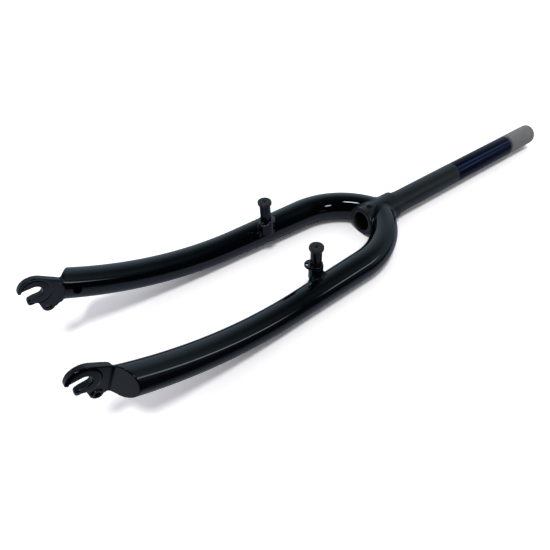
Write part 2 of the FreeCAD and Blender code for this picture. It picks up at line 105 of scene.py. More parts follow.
def soften(profile: list[Span], radius: float, steps: int = 4, most: float = 0.45) -> Array:
    """Rounds the corners of an open profile, each with a bent curve. The first and last points stay.

    Args:
        profile: the profile's points.
        radius: how far from a corner the rounding starts.
        steps: number of spans on each corner.
        most: the largest share of an edge that a rounding takes.

    Returns:
        The rounded profile, one point a line.
    """
    points = np.array(profile)
    corner = points[1:-1]
    sides = [points[:-2] - corner, points[2:] - corner]
    reach = [np.minimum(radius / np.linalg.norm(side, axis=1), most)[:, None] for side in sides]
    start, end = [(corner + side * share)[:, None, :] for side, share in zip(sides, reach)]
    bends = bent(start, corner[:, None, :], end, np.linspace(0.0, 1.0, steps + 1)[None, :, None])
    return np.concatenate([points[:1], bends.reshape(-1, 2), points[-1:]])


def lathe(profile: Array, cols: int) -> tuple[Array, Array, Array]:
    """Profile points (r, h) carried round an axis: r cos a, r sin a and h at each angle a.

    Args:
        profile: the profile, one point a line.
        cols: number of angles.

    Returns:
        The three grids, a row for each profile point.
    """
    a = turns(cols)[None, :]
    r, h = profile[:, :1], profile[:, 1:]
    return r * np.cos(a), r * np.sin(a), h + 0 * a


@dataclass(frozen=True)
class Hole:
    """A round hole opened in a round wall's grid of points."""

    row: int  # row of the hole's middle
    col: int  # column of the hole's middle
    radius: float  # radius of the hole in millimetres
    half: int = 4  # half the side, in cells, of the block of cells that is left out
    fade: int = 9  # cells from the middle at which the grid is its plain self again
    window: float = 1.2  # angle from the middle, in radians, within which points move

    def across(self, j: Array, cols: int) -> Array:
        """Columns from the hole's middle, the short way round."""
        return (j - self.col + cols // 2) % cols - cols // 2

    def holds(self, i: Array, j: Array, cols: int) -> Array:
        """Which cells of a grid, by row and column, lie in the block."""
        return (np.abs(i - self.row + 0.5) < self.half) & (np.abs(self.across(j, cols) + 0.5) < self.half)

    def rim(self, grid: Array) -> Array:
        """Points of the grid on the block's rim, in order round it."""
        k = self.half
        run, edge = np.arange(-k, k), np.full(2 * k, k)
        i, j = np.concatenate([-edge, run, edge, -run]), np.concatenate([run, edge, -run, -edge])
        return grid[self.row + i, (self.col + j) % grid.shape[1]]

    def opened(self, along: Array, a: Array, at: float, middle: float, wall: float) -> tuple[Array, Array]:
        """Moves a wall's grid points so that the block's rim is the hole's circle, seen square to the wall.

        At ring k of the square cells round the middle the wanted place is radius k/half at the cell's own angle;
        it blends to the point's own place at the ring named fade. Across the columns a place is wall sin(angle).

        Args:
            along: place of every grid point down the rows, in millimetres.
            a: its angle round the wall.
            at: the hole's place down the rows.
            middle: the hole's angle.
            wall: radius of the wall.

        Returns:
            The moved places and angles.
        """
        rows, cols = along.shape
        i, j = np.arange(rows)[:, None] - self.row, self.across(np.arange(cols)[None, :], cols)
        ring, angle = np.maximum(np.abs(i), np.abs(j)), np.arctan2(j, i)
        keep = smooth_step((ring - self.half) / (self.fade - self.half))
        reach = (1 - keep) * self.radius * ring / self.half
        off = (a - middle + math.pi) % TURN - math.pi
        down = keep * (along - at) + reach * np.cos(angle)
        aside = keep * np.sin(off) + reach * np.sin(angle) / wall
        near = np.abs(off) < self.window
        return (np.where(near, at + down, along),
                np.where(near, middle + np.arcsin(np.clip(aside, -1.0, 1.0)), a))


@dataclass
class Net:
    """Points in millimetres and the quads between them."""

    points: Array  # array of points, one a line
    faces: Array  # array of corner numbers, one quad a line

    @classmethod
    def from_grid(cls, grid: Array, wrap_rows: bool = False, holes: tuple[Hole, ...] = ()) -> "Net":
        """Quads between neighbouring points of a grid whose columns close, less the cells of its holes.

        Args:
            grid: points, rows by columns by three.
            wrap_rows: whether the last row joins the first.
            holes: the holes.

        Returns:
            The net.
        """
        rows, cols = grid.shape[:2]
        i, j = np.meshgrid(np.arange(rows if wrap_rows else rows - 1), np.arange(cols), indexing="ij")
        i2, j2 = (i + 1) % rows, (j + 1) % cols
        faces = np.stack([i * cols + j, i * cols + j2, i2 * cols + j2, i2 * cols + j], axis=-1)
        cut = np.zeros(i.shape, dtype=bool)
        for hole in holes:
            cut |= hole.holds(i, j, cols)
        return cls(grid.reshape(-1, 3), faces[~cut])

    @classmethod
    def between(cls, first: Array, second: Array) -> "Net":
        """Strip of quads between two closed rings with as many points."""
        return cls.from_grid(np.stack([first, second]))

    @classmethod
    def weld(cls, first: Array, crease: Array, second: Array, sunk: Array, steps: int = 8) -> "Net":
        """A smoothed weld along a closed seam: across it a bent curve, closed through a sunk line.

        Args:
            first: points on the first skin, in order along the seam.
            crease: points of the crease between the skins.
            second: points on the second skin.
            sunk: points under both skins.
            steps: spans across the weld.

        Returns:
            The weld's closed net.
        """
        over = bent(first, crease, second, np.linspace(0.0, 1.0, steps + 1)[:, None, None])
        return cls.from_grid(np.concatenate([over, sunk[None]]), wrap_rows=True)


def mesh_of(name: str, nets: list[Net], sharp_deg: float = 35.0) -> Mesh:
    """One closed mesh from nets, welded where their points meet, faces outwards, smooth but for sharp edges.

    Args:
        name: the mesh's name.
        nets: the nets to join, in millimetres.
        sharp_deg: edges that turn more than this stay sharp.

    Returns:
        The mesh, in metres.
    """
    starts = np.cumsum([0] + [len(net.points) for net in nets[:-1]])
    points = np.concatenate([net.points for net in nets])
    faces = np.concatenate([net.faces + start for net, start in zip(nets, starts)])
    _, first, back = np.unique(np.round(points / WELD_STEP).astype(np.int64), axis=0,
                               return_index=True, return_inverse=True)
    points, faces = points[first], back.reshape(-1)[faces]
    same = faces == np.roll(faces, -1, axis=1)
    folds = same.sum(axis=1)
    drop = np.argmax(same[folds == 1], axis=1)[:, None]
    triangles = np.take_along_axis(faces[folds == 1], (drop + np.array([[1, 2, 3]])) % 4, axis=1)
    mesh = bpy.data.meshes.new(name)
    mesh.from_pydata((points * MM).tolist(), [], faces[folds == 0].tolist() + triangles.tolist())
    work = bmesh.new()
    work.from_mesh(mesh)
    bmesh.ops.recalc_face_normals(work, faces=work.faces)
    work.to_mesh(mesh)
    work.free()
    mesh.polygons.foreach_set("use_smooth", np.ones(len(mesh.polygons), dtype=bool))
    mesh.set_sharp_from_angle(angle=math.radians(sharp_deg))
    return mesh


def place_piece(mesh: Mesh, material: Material, slot: Slot, nodes: tuple[str, ...] = ()) -> None:
    """Puts a mesh into the scene as a piece of the fork.

    Args:
        mesh: the finished mesh, in its place.
        material: its finish.
        slot: the record's material slot; not used.
        nodes: CAD nodes that the piece stands for.
    """
    piece = bpy.data.objects.new(mesh.name, mesh)
    bpy.context.scene.collection.objects.link(piece)
    mesh.materials.append(material)
    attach(piece, "root")
    if nodes:
        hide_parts(*nodes)
    LOG.info("%s: %d faces", piece.name, len(mesh.polygons))


def mesh_points(mesh: Mesh) -> Array:
    """A mesh's points in millimetres, one a line."""
    points = np.empty(len(mesh.vertices) * 3)
    mesh.vertices.foreach_get("co", points)
    return points.reshape(-1, 3) / MM


def set_points(mesh: Mesh, points: Array) -> None:
    """Moves a mesh's points to the given places in millimetres."""
    mesh.vertices.foreach_set("co", (points * MM).reshape(-1))
    mesh.update()


def node_net(node: str) -> Net:
    """A CAD node's triangles as a net in millimetres, each triangle a quad with its last corner twice."""
    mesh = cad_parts[node].data
    mesh.calc_loop_triangles()
    corners = np.empty(len(mesh.loop_triangles) * 3, dtype=np.int32)
    mesh.loop_triangles.foreach_get("vertices", corners)
    corners = corners.reshape(-1, 3)
    return Net(mesh_points(mesh), np.concatenate([corners, corners[:, 2:]], axis=1))


def even_skin(name: str, nets: list[Net], grain: float) -> Mesh:
    """One even skin of small quads round closed nets that overlap, for relax to round its edges.

    Args:
        name: the mesh's name.
        nets: the closed nets, in millimetres.
        grain: size of the quads in millimetres.

    Returns:
        The mesh, in metres, smooth all over.
    """
    rough = mesh_of(f"{name}_rough", nets, 180.0)
    holder = bpy.data.objects.new(rough.name, rough)
    bpy.context.scene.collection.objects.link(holder)
    skin = holder.modifiers.new("skin", "REMESH")
    skin.mode, skin.voxel_size, skin.use_smooth_shade = "VOXEL", grain * MM, True
    mesh = bpy.data.meshes.new_from_object(holder.evaluated_get(bpy.context.evaluated_depsgraph_get()))
    mesh.name = name
    bpy.data.objects.remove(holder)
    bpy.data.meshes.remove(rough)
    return mesh


def relax(mesh: Mesh, weight: Array | float, passes: int) -> None:
    """Rounds a skin's edges and inner corners.

    Each pass moves every point by half its weight towards the mean of its neighbours, p + w/2 (mean - p).

    Args:
        mesh: the skin.
        weight: a number from 0 to 1, for each point or for all.
        passes: how many times.
    """
    points, count = mesh_points(mesh), len(mesh.vertices)
    weight = np.broadcast_to(weight, count)[:, None]
    edges = np.empty(len(mesh.edges) * 2, dtype=np.int32)
    mesh.edges.foreach_get("vertices", edges)
    here, there = edges, edges.reshape(-1, 2)[:, ::-1].reshape(-1)
    share = np.maximum(np.bincount(here, minlength=count), 1)[:, None]
    for _ in range(passes):
        mean = np.stack([np.bincount(here, points[there, k], count) for k in range(3)], axis=1) / share
        points += 0.5 * weight * (mean - points)
    set_points(mesh, points)


class Bench:
    """Lays the nodes of one shader tree and joins them."""

    def __init__(self, tree: NodeTree) -> None:
        """Starts with an empty tree."""
        self.tree = tree
        tree.nodes.clear()

    def feed(self, node: Node, sockets: dict) -> None:
        """Sets a node's inputs.

        Args:
            node: the node.
            sockets: input name or number to a value, or to an output socket to be linked.
        """
        for key, value in sockets.items():
            if isinstance(value, NodeSocket):
                self.tree.links.new(value, node.inputs[key])
            else:
                node.inputs[key].default_value = value

    def node(self, kind: str, sockets: dict | None = None, **settings: object) -> Node:
        """Adds a node.

        Args:
            kind: the node's class name.
            sockets: its inputs, as feed takes them.
            settings: the node's own properties.

        Returns:
            The node.
        """
        made = self.tree.nodes.new(kind)
        for name, value in settings.items():
            setattr(made, name, value)
        self.feed(made, sockets or {})
        return made

    def math(self, operation: str, *values: object) -> NodeSocket:
        """Result of a Math node on numbers or sockets."""
        return self.node("ShaderNodeMath", dict(enumerate(values)), operation=operation).outputs[0]

    def vector(self, operation: str, first: object, second: object, out: int = 0) -> NodeSocket:
        """Result of a Vector Math node, by number of its output."""
        return self.node("ShaderNodeVectorMath", {0: first, 1: second}, operation=operation).outputs[out]

    def toward(self, way: NodeSocket, aim: Triple) -> NodeSocket:
        """Dot product of a direction and a fixed one."""
        return self.vector("DOT_PRODUCT", way, aim, 1)

    def band(self, value: object, low: float, high: float, out: Span = (0.0, 1.0)) -> NodeSocket:
        """A number carried smoothly from low..high to the two given ends."""
        ends = {"Value": value, "From Min": low, "From Max": high, "To Min": out[0], "To Max": out[1]}
        return self.node("ShaderNodeMapRange", ends, interpolation_type="SMOOTHSTEP").outputs["Result"]

    def spread(self, noise: NodeSocket, out: Span) -> NodeSocket:
        """A noise's middle numbers carried to the two given ends."""
        return self.band(noise, *NOISE_MIDDLE, out)

    def beside(self, value: NodeSocket, middle: float, edges: Span) -> NodeSocket:
        """A smooth stripe round a middle: 0 from the first distance outwards, 1 from the second inwards."""
        return self.band(self.math("ABSOLUTE", self.math("SUBTRACT", value, middle)), *edges)

    def noise(self, where: NodeSocket, scale: float, detail: float = 2.0) -> NodeSocket:
        """Fac of a noise texture at the given coordinates."""
        return self.node("ShaderNodeTexNoise", {"Vector": where, "Scale": scale, "Detail": detail}).outputs["Fac"]

    def mix(self, share: NodeSocket, first: object, second: object) -> NodeSocket:
        """A colour between two colours."""
        return self.node("ShaderNodeMix", {"Factor": share, 6: first, 7: second}, data_type="RGBA").outputs[2]

    def blend(self, share: NodeSocket, first: object, second: object) -> NodeSocket:
        """A number between two numbers."""
        return self.node("ShaderNodeMix", {"Factor": share, 2: first, 3: second}).outputs[0]

    def bump(self, strength: float, deep: float, height: NodeSocket) -> NodeSocket:
        """The normal of a bumped surface."""
        return self.node("ShaderNodeBump", {"Strength": strength, "Distance": deep, "Height": height}).outputs[0]

    def where(self) -> NodeSocket:
        """Object coordinates."""
        return self.node("ShaderNodeTexCoord").outputs["Object"]

    def split(self, vector: NodeSocket) -> list[NodeSocket]:
        """The three parts of a vector."""
        return list(self.node("ShaderNodeSeparateXYZ", {0: vector}).outputs)

    def rays(self) -> tuple[NodeSocket, NodeSocket]:
        """Two switches: 1 for what the camera sees, also through glass, and 1 for what gloss mirrors."""
        path = self.node("ShaderNodeLightPath").outputs
        return self.math("MAXIMUM", path["Is Camera Ray"], path["Is Transmission Ray"]), path["Is Glossy Ray"]


def new_material(name: str, shader: str = "ShaderNodeBsdfPrincipled") -> tuple[Material, Bench, Node]:
    """An empty node material with its output and one shader.

    Args:
        name: the material's name.
        shader: the shader's class name.

    Returns:
        The material, its bench and the shader's node.
    """
    material = bpy.data.materials.new(name)
    material.use_nodes = True
    bench = Bench(material.node_tree)
    node = bench.node(shader)
    bench.node("ShaderNodeOutputMaterial", {"Surface": node.outputs[0]})
    return material, bench, node


@dataclass(frozen=True)
class GlossPaint:
    """Sprayed gloss black: near-black colour that drifts a little, low roughness and faint orange peel."""

    name: str = "gloss_black_paint"  # the material's name
    dark: Colour = (0.0002, 0.0007, 0.0014, 1.0)  # darkest colour
    light: Colour = (0.0006, 0.0014, 0.0022, 1.0)  # lightest colour
    smooth: Span = (0.025, 0.07)  # roughness range
    peel: float = 0.02  # strength of the orange peel
    shine: float = 0.5  # specular level
    drift: float = 35.0  # scale of the colour's drift
    patches: float = 90.0  # scale of the roughness
    peel_scale: float = 420.0  # scale of the orange peel
    peel_deep: float = 0.0004  # its depth in metres

    def make(self) -> Material:
        """The paint as a node material."""
        material, bench, shader = new_material(self.name)
        where = bench.where()
        bench.feed(shader, {
            "Specular IOR Level": self.shine,
            "Base Color": bench.mix(bench.noise(where, self.drift, detail=3.0), self.dark, self.light),
            "Roughness": bench.spread(bench.noise(where, self.patches), self.smooth),
            "Normal": bench.bump(self.peel, self.peel_deep, bench.noise(where, self.peel_scale, detail=1.0))})
        return material


@dataclass(frozen=True)
class SatinPaint:
    """Satin black on the crown end and the lower steerer, with a fine, dry grain."""

    name: str = "satin_black_paint"  # the material's name
    dark: Colour = (0.0026, 0.0032, 0.0038, 1.0)  # darkest colour
    light: Colour = (0.0046, 0.0052, 0.0060, 1.0)  # lightest colour
    smooth: Span = (0.37, 0.47)  # roughness range
    drift: float = 60.0  # scale of the colour's drift
    grain: float = 900.0  # scale of the grain
    grain_bump: float = 0.06  # strength of the grain
    grain_deep: float = 0.0003  # its depth in metres

    def make(self) -> Material:
        """The paint as a node material."""
        material, bench, shader = new_material(self.name)
        where = bench.where()
        grain = bench.noise(where, self.grain, detail=3.0)
        bench.feed(shader, {
            "Base Color": bench.mix(bench.noise(where, self.drift, detail=3.0), self.dark, self.light),
            "Roughness": bench.spread(grain, self.smooth),
            "Normal": bench.bump(self.grain_bump, self.grain_deep, grain)})
        return material


@dataclass(frozen=True)
class DippedSteel:
    """The steerer's free end: a thin blue-black dip with painted reflection lines along it, which fades to bare steel,
    by Object Y.
    """

    name: str = "dipped_steel"  # the material's name
    shine: float = 0.09  # specular level
    dip_end: float = 0.2170  # where the dip fades to bare steel, in metres
    fade: float = 0.0055  # half the length of that fade
    ragged: Span = (0.004, 260.0)  # how far that edge wanders, in metres, and the scale of it
    dip: Colour = (0.0002, 0.0010, 0.0085, 1.0)  # colour of the dip
    dip_smooth: Span = (0.05, 0.10)  # its roughness range
    # painted reflections: middle, edge and inner edge in degrees, and colour, of each painted reflection line
    reflection_streaks: tuple[tuple[float, Span, Colour], ...] = ((62.0, (8.0, 1.6), (0.0210, 0.0290, 0.0620, 1.0)),
                                                       (45.0, (11.0, 2.2), (0.0040, 0.0100, 0.0420, 1.0)))
    dots: float = 700.0  # scale of the dots that break the painted reflection lines
    dot_edge: Span = (0.3, 0.6)  # noise numbers between which a dot turns into painted reflection line
    dotted: Span = (0.55, 1.0)  # range of the painted reflection lines' strength
    steel: Triple = (0.232, 0.226, 0.219)  # colour of the bare end
    steel_smooth: Span = (0.50, 0.62)  # its roughness range
    metal: float = 0.35  # how metallic it is
    worn: Span = (0.92, 1.06)  # range of its brightness
    wear: float = 180.0  # scale of that
    grain: float = 900.0  # scale of the grain
    grain_bump: float = 0.05  # strength of the grain
    grain_deep: float = 0.0003  # its depth in metres

    def make(self) -> Material:
        """The finish as a node material."""
        material, bench, shader = new_material(self.name)
        where = bench.where()
        x, y, z = bench.split(where)
        turn = bench.math("ARCTAN2", z, x)
        grain = bench.noise(where, self.grain, detail=3.0)
        dots = bench.band(bench.noise(where, self.dots, detail=1.0), *self.dot_edge, self.dotted)
        colour = self.dip
        # painted reflections: lighter blue lines at fixed angles round the tube, mixed into the dip's colour
        for middle, edges, tone in self.reflection_streaks:
            line = bench.beside(turn, math.radians(middle), radians(edges))
            colour = bench.mix(bench.math("MULTIPLY", line, dots), colour, tone)
        wander = bench.math("MULTIPLY", bench.noise(where, self.ragged[1], detail=3.0), self.ragged[0])
        bare = bench.band(bench.math("ADD", y, wander), self.dip_end - self.fade, self.dip_end + self.fade)
        worn = bench.spread(bench.noise(where, self.wear, detail=4.0), self.worn)
        bench.feed(shader, {
            "Specular IOR Level": self.shine,
            "Base Color": bench.mix(bare, colour, bench.vector("MULTIPLY", self.steel, worn)),
            "Roughness": bench.blend(bare, bench.spread(grain, self.dip_smooth),
                                     bench.spread(grain, self.steel_smooth)),
            "Metallic": bench.math("MULTIPLY", bare, self.metal),
            "Normal": bench.bump(self.grain_bump, self.grain_deep, grain)})
        return material


@dataclass(frozen=True)
class CapPlastic:
    """Moulded black plastic: a polished sleeve and, from a height in Object Z, a disc with a fine, even grain and a
    paler colour that is painted sheen.
    """

    name: str = "black_cap_plastic"  # the material's name
    shine: float = 0.26  # specular level
    dark: Colour = (0.0012, 0.0014, 0.0018, 1.0)  # darkest colour
    light: Colour = (0.0040, 0.0042, 0.0048, 1.0)  # lightest colour
    disc_low: float = 0.0447  # where the disc begins, in metres
    disc_edge: float = 0.0001  # half the width of that change
    disc_sheen_gain: float = 5.5  # painted sheen: how much paler the disc is painted than the sleeve
    polished: Span = (0.10, 0.15)  # roughness range of the sleeve
    grained: Span = (0.26, 0.34)  # roughness range of the disc
    patches: float = 300.0  # scale of the roughness
    grain: float = 1600.0  # scale of the grain
    grain_bump: float = 0.10  # strength of the grain
    grain_deep: float = 0.0002  # its depth in metres

    def make(self) -> Material:
        """The plastic as a node material."""
        material, bench, shader = new_material(self.name)
        where = bench.where()
        grain, patch = bench.noise(where, self.grain), bench.noise(where, self.patches)
        disc = bench.band(bench.split(where)[2], self.disc_low - self.disc_edge, self.disc_low + self.disc_edge)
        # painted sheen: the disc's colour is made paler than the sleeve's
        painted_sheen = bench.math("MULTIPLY_ADD", disc, self.disc_sheen_gain - 1.0, 1.0)
        bench.feed(shader, {
            "Specular IOR Level": self.shine,
            "Base Color": bench.vector("MULTIPLY", bench.mix(grain, self.dark, self.light), painted_sheen),
            "Roughness": bench.blend(disc, bench.spread(patch, self.polished), bench.spread(patch, self.grained)),
            "Normal": bench.bump(self.grain_bump, self.grain_deep, grain)})
        return material


@dataclass
class Steerer:
    """The turned steerer: crown end, race seat and tube, with a hole from front to back. Axis along Y, millimetres."""

    tube: float = 12.7  # radius of the tube
    bore: float = 11.1  # radius of the bore
    race: float = 13.2  # radius of the race seat
    crown: float = 15.898  # radius of the crown end
    foot: float = -48.0  # Y of the open crown end
    foot_edge: float = 0.6  # bevel round the crown end
    flare: Span = (1.6, 0.55)  # widening and depth of the countersink in the crown end
    shoulder: float = 0.7  # how far under the race shoulder the crown's straight wall ends
    race_top: float = 10.0  # Y at which the race seat ends
    coat_top: float = 106.5  # Y at which the thick coat of paint ends
    coat: float = 0.12  # thickness of that coat
    tuck: float = 0.2  # how far its edge goes under the tube's skin
    lap: float = 0.1  # how far coat and free end overlap
    top: float = 264.0  # Y of the free end
    top_edge: Span = (0.5, 0.3)  # bevels of the free end, outside and in the bore
    hole: float = 3.0  # radius of the crown hole
    hole_at: float = -38.0  # Y of the crown hole
    soft: float = 0.45  # rounding of the turned edges
    foot_soft: float = 0.5  # rounding of the crown end's edges
    cols: int = 128  # points round the tube
    crown_rows: int = 65  # rows of points on the crown end

    def turned(self, profile: list[Span], soft: float) -> Net:
        """Lathe: each point (r, y) of a softened profile goes round the Y axis."""
        across, ahead, along = lathe(soften(profile, soft), self.cols)
        return Net.from_grid(np.stack([across, along, ahead], axis=-1))

    def pierced(self, radius: float) -> tuple[Net, list[Array]]:
        """The crown end's straight wall with the crown hole at its front and back.

        Args:
            radius: radius of the wall, (radius cos a, y, radius sin a).

        Returns:
            The net and the rims of the two holes.
        """
        low, high = self.foot + self.foot_edge, -self.shoulder
        y = np.linspace(low, high, self.crown_rows)[:, None] + np.zeros((1, self.cols))
        a = turns(self.cols)[None, :] + np.zeros((self.crown_rows, 1))
        row = int(np.argmin(np.abs(y[:, 0] - self.hole_at)))
        holes = tuple(Hole(row, quarter * self.cols // 4, self.hole) for quarter in (1, 3))
        for hole in holes:
            y, a = hole.opened(y, a, self.hole_at, TURN * hole.col / self.cols, radius)
        grid = np.stack([radius * np.cos(a), y, radius * np.sin(a)], axis=-1)
        return Net.from_grid(grid, holes=holes), [hole.rim(grid) for hole in holes]

    def build(self, satin: Material, dipped: Material) -> None:
        """Makes the steerer's painted length and its dipped end and dresses them.

        Args:
            satin: the paint.
            dipped: the finish of the free end.
        """
        low, high = self.foot + self.foot_edge, -self.shoulder
        coat, lap = self.tube + self.coat, self.coat_top + self.lap
        outside, inside = self.top_edge
        above = [(self.crown, high), (self.crown, 0.0), (self.race, 0.0), (self.race, self.race_top),
                 (coat, self.race_top), (coat, self.coat_top), (self.tube - self.tuck, lap), (self.bore, lap),
                 (self.bore, high)]
        free = [(self.bore, self.coat_top), (self.tube, self.coat_top), (self.tube, self.top - outside),
                (self.tube - outside, self.top), (self.bore + inside, self.top), (self.bore, self.top - inside),
                (self.bore, self.coat_top)]
        below = [(self.bore, low), (self.bore, self.foot + self.flare[1]), (self.bore + self.flare[0], self.foot),
                 (self.crown - self.foot_edge, self.foot), (self.crown, low)]
        (outer, outer_rims), (inner, inner_rims) = self.pierced(self.crown), self.pierced(self.bore)
        walls = [Net.between(rim, facing) for rim, facing in zip(outer_rims, inner_rims)]
        nets = [outer, inner, *walls, self.turned(above, self.soft), self.turned(below, self.foot_soft)]
        place_piece(mesh_of("steerer_turned", nets), satin, Slot.STEERER, ("steerer_tube",))
        place_piece(mesh_of("steerer_free_end", [self.turned(free, self.soft)]), dipped, Slot.STEERER)


@dataclass
class Leg:
    """A leg: a tube that leaves the crown, bends down, runs straight, then rakes forward. Millimetres, degrees."""

    side: Side  # left or right
    top: float = 14.9  # radius at the crown
    end: float = 13.6  # radius at the dropout
    wall: float = 1.8  # thickness of the tube
    reach: float = 8.6  # straight length at the crown
    slope: float = 27.0  # fall of that length below square to the steering axis
    bend: float = 81.0  # radius of the crown bend
    splay: float = 2.3  # turn of the straight run away from the steering axis
    straight: float = 89.2  # length of the straight run
    rake_bend: float = 355.0  # radius of the rake bend
    rake: float = 27.0  # angle of the rake bend
    tail: float = 7.0  # straight length before the dropout
    bend_end: Span = (51.82, -93.23)  # X and Y of the end of the crown bend
    crown: float = 15.9  # radius of the crown
    crown_foot: float = -48.0  # Y of the crown's open end
    crown_span: Span = (3.0, 60.0)  # distances between which the tube leaves the crown
    axle: Span = (-365.42, 52.28)  # Y and Z of the axle
    fold: float = 18.8  # distance from the axle to the dropout's fold
    plate_out: float = 55.4  # X of the dropout's outer face
    tang: float = 57.0  # angle of the tang from the leg's end
    tang_cover: float = 2.0  # depth of the tang that shows at the leg's end
    tang_span: float = 90.0  # length of the leg's end in which the tang cuts it
    vent: float = 3.7  # radius of the vent hole
    vent_up: float = 13.0  # distance of the vent above the fold
    vent_ahead: float = 1.5  # distance of the vent before the leg's middle line
    weld_reach: float = 4.2  # how far the weld at the crown spreads on either skin
    weld_proud: float = 0.03  # how far its edges stand over the skins
    weld_edge: float = 0.8  # how far it stays from the crown's open end
    # filling of its crease: all round, more on the lower side, and height of the beads there
    weld_fill: Triple = (0.15, 0.35, 0.25)
    weld_sunk: float = 1.2  # depth of its hidden line
    bead: float = 2.4  # length of a bead
    rows: int = 300  # rows of points down the tube
    cols: int = 96  # points round the tube
    weld_cols: int = 240  # points along the weld

    def sweep(self) -> float:
        """Angle of the crown bend in radians."""
        return math.radians(90.0 - self.splay - self.slope)

    def spans(self) -> Array:
        """Lengths of the five stretches: reach, bend, straight, rake, tail."""
        return np.array([self.reach, self.bend * self.sweep(), self.straight,
                         self.rake_bend * math.radians(self.rake), self.tail + 2 * self.end])

    def surface(self, s: Array, a: Array, inset: Array | float = 0.0, lift: bool = False) -> Array:
        """The tube's skin at distance s down its middle line and angle a round it.

        Point = middle(s) + (r(s) - inset) (cos a N + sin a B). The middle line is a straight reach, an arc in the
        plane of the two legs, a straight run, an arc forwards and a straight tail; N points outwards and B forwards;
        r falls evenly along the straight run.

        Args:
            s: distance down the middle line.
            a: angle round it, 0 outwards and a quarter turn forwards.
            inset: how far inside the skin.
            lift: whether to give the outward normal instead of the point.

        Returns:
            Points or normals, with a last axis of three.
        """
        s, a = np.broadcast_arrays(s, a)
        l0, l1, l2, l3, _ = self.spans()
        turn, spin = self.sweep(), math.radians(self.splay)
        theta = turn - np.clip(s - l0, 0.0, l1) / self.bend
        bow = np.clip(s - l0 - l1 - l2, 0.0, l3) / self.rake_bend
        x, y = np.cos(a) * np.cos(theta), np.cos(a) * np.sin(theta) + np.sin(a) * np.sin(bow)
        z = np.sin(a) * np.cos(bow)
        from_x, from_y = (0.0, 0.0) if lift else self.bend_end
        if not lift:
            first, run = np.minimum(s, l0) - self.reach, np.clip(s - l0 - l1, 0.0, l2)
            tail = np.clip(s - l0 - l1 - l2 - l3, 0.0, None)
            r = self.top - (self.top - self.end) * run / l2 - inset
            x = r * x + math.sin(turn) * first + self.bend * (np.cos(theta) - 1.0)
            y = r * y + self.bend * np.sin(theta) - math.cos(turn) * first - run
            y = y - self.rake_bend * np.sin(bow) - tail * np.cos(bow)
            z = r * z + self.rake_bend * (1.0 - np.cos(bow)) + tail * np.sin(bow)
        turned_x = x * math.cos(spin) - y * math.sin(spin) + from_x
        turned_y = x * math.sin(spin) + y * math.cos(spin) + from_y
        return np.stack([turned_x * self.side.value, turned_y, z], axis=-1)

    def from_axle(self, points: Array) -> tuple[Array, Array]:
        """Distances of points from the axle, up the raked end of the leg and ahead of it."""
        turn = math.radians(self.rake)
        dy, dz = points[..., 1] - self.axle[0], points[..., 2] - self.axle[1]
        return dy * math.cos(turn) - dz * math.sin(turn), dy * math.sin(turn) + dz * math.cos(turn)

    def fold_gap(self, points: Array) -> Array:
        """How far points lie past the slanted plane of the tang, along the leg's end."""
        up, _ = self.from_axle(points)
        lean = math.radians(self.tang)
        slant = np.maximum(0.0, np.abs(points[..., 0]) - self.plate_out) / math.tan(lean)
        return self.fold + self.tang_cover / math.sin(lean) + slant - up

    def trim(self, a: Array, low: float, high: float, gap: Callable[[Array], Array], inset: float) -> Array:
        """Where each line of the skin crosses a limit, by halving the span again and again.

        Args:
            a: angles of the lines.
            low: distance at which the gap is below nothing.
            high: distance at which it is above.
            gap: measure of points against the limit.
            inset: how far inside the skin.

        Returns:
            The distance for each angle.
        """
        left, right = np.full_like(a, low), np.full_like(a, high)
        for _ in range(HALVINGS):
            middle = 0.5 * (left + right)
            past = gap(self.surface(middle, a, inset)) > 0.0
            left, right = np.where(past, left, middle), np.where(past, middle, right)
        return 0.5 * (left + right)

    def ends(self, a: Array, inset: float, sink: float = 0.15) -> tuple[Array, Array]:
        """Where the skin ends, for each angle.

        Args:
            a: the angles.
            inset: how far inside the skin.
            sink: how far the end at the crown is sunk into the crown's round.

        Returns:
            The distances at the crown and at the dropout.
        """
        total = float(self.spans().sum())
        start = self.trim(a, *self.crown_span, lambda p: np.hypot(p[..., 0], p[..., 2]) - (self.crown - sink), inset)
        return start, self.trim(a, total - self.tang_span, total, self.fold_gap, inset)

    def wall_grid(self, inset: float) -> tuple[Array, Hole]:
        """Grid of one wall of the tube with the vent opened at its inward side.

        Args:
            inset: how far inside the skin the wall lies.

        Returns:
            The grid of points and the vent hole.
        """
        a = turns(self.cols)
        start, finish = self.ends(a, inset)
        s = start + (finish - start) * np.linspace(0.0, 1.0, self.rows)[:, None]
        vent_at = float(self.spans()[:4].sum()) + self.tail - self.vent_up
        middle = math.pi - math.asin(self.vent_ahead / self.end)
        col = round(middle / TURN * self.cols)
        hole = Hole(int(np.argmin(np.abs(s[:, col] - vent_at))), col, self.vent, half=3, fade=8, window=1.0)
        return self.surface(*hole.opened(s, a[None, :], vent_at, middle, self.end), inset), hole

    def build(self, material: Material) -> None:
        """Makes the tube and its weld to the crown and dresses them.

        Args:
            material: the paint.
        """
        skin, hole = self.wall_grid(0.0)
        core, _ = self.wall_grid(self.wall)
        nets = [Net.from_grid(skin, holes=(hole,)), Net.from_grid(core, holes=(hole,)),
                Net.between(skin[0], core[0]), Net.between(skin[-1], core[-1]),
                Net.between(hole.rim(skin), hole.rim(core))]
        mesh = mesh_of(self.side.named("leg_tube"), nets)
        place_piece(mesh, material, Slot.PAINT, (self.side.named("leg"),))
        self.build_crown_weld(material)

